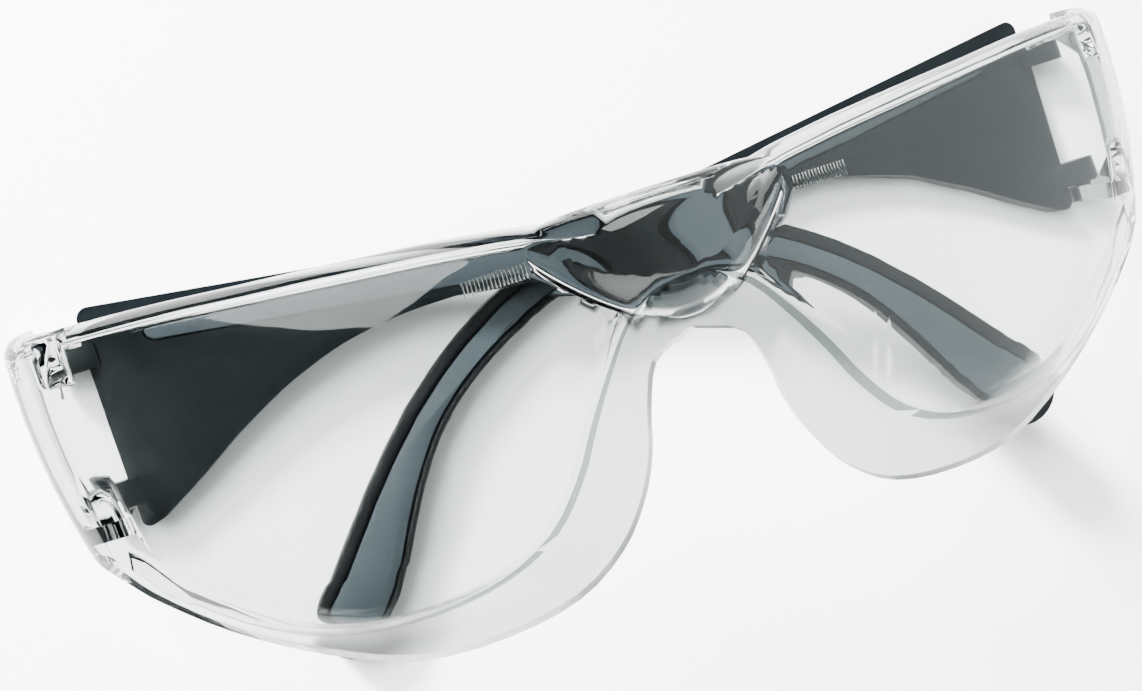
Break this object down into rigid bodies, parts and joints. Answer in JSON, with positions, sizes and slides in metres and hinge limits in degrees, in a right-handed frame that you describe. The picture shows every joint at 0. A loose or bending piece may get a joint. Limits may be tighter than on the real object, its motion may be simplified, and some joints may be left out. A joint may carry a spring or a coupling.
{
  "type": "sports protective goggles",
  "caption": "Clear one-piece wraparound eye shield with a brow lip, cheek flange and nose arch, on folding dark temples whose curved ear pieces slide in and out.",
  "frame": {"origin": "middle of the whole outline, on the plane that the folded goggles stand on", "axes": "+X across the face, +Y towards the brow along the hinge axes, +Z out of the front of the shield"},
  "size_m": [0.163, 0.0574, 0.0372],
  "materials": {
    "clear_polycarbonate": "clear, polished",
    "charcoal_nylon": "fine satin moulding",
    "grey_nylon": "fine satin moulding",
    "black_soft_rim": "soft satin",
    "pin_nylon": "smooth"
  },
  "bodies": {
    "shield": {"lens_shield": "clear_polycarbonate", "hinge_pin_upper_right": "pin_nylon", "hinge_pin_lower_right": "pin_nylon", "hinge_pin_upper_left": "pin_nylon", "hinge_pin_lower_left": "pin_nylon"},
    "temple_right": {"temple_plate_right": "charcoal_nylon"},
    "temple_left": {"temple_plate_left": "charcoal_nylon"},
    "arm_right": {"slide_arm_right": "grey_nylon", "ear_rim_right": "black_soft_rim"},
    "arm_left": {"slide_arm_left": "grey_nylon", "ear_rim_left": "black_soft_rim"}
  },
  "joints": [
    {"name": "temple_right_fold", "type": "hinge", "parent": "shield", "child": "temple_right", "pos_m": [0.0749, 0.01333, 0.00256], "axis": [0, -1, 0], "range_deg": [0, 90]},
    {"name": "temple_left_fold", "type": "hinge", "parent": "shield", "child": "temple_left", "pos_m": [-0.0749, 0.01333, 0.00256], "axis": [0, 1, 0], "range_deg": [0, 93.5]},
    {"name": "arm_right_slide", "type": "slide", "parent": "temple_right", "child": "arm_right", "axis": [-0.9908, -0.1348, 0.0138], "range_m": [0, 0.005]},
    {"name": "arm_left_slide", "type": "slide", "parent": "temple_left", "child": "arm_left", "axis": [0.9877, -0.1348, 0.0795], "range_m": [0, 0.005]}
  ]
}
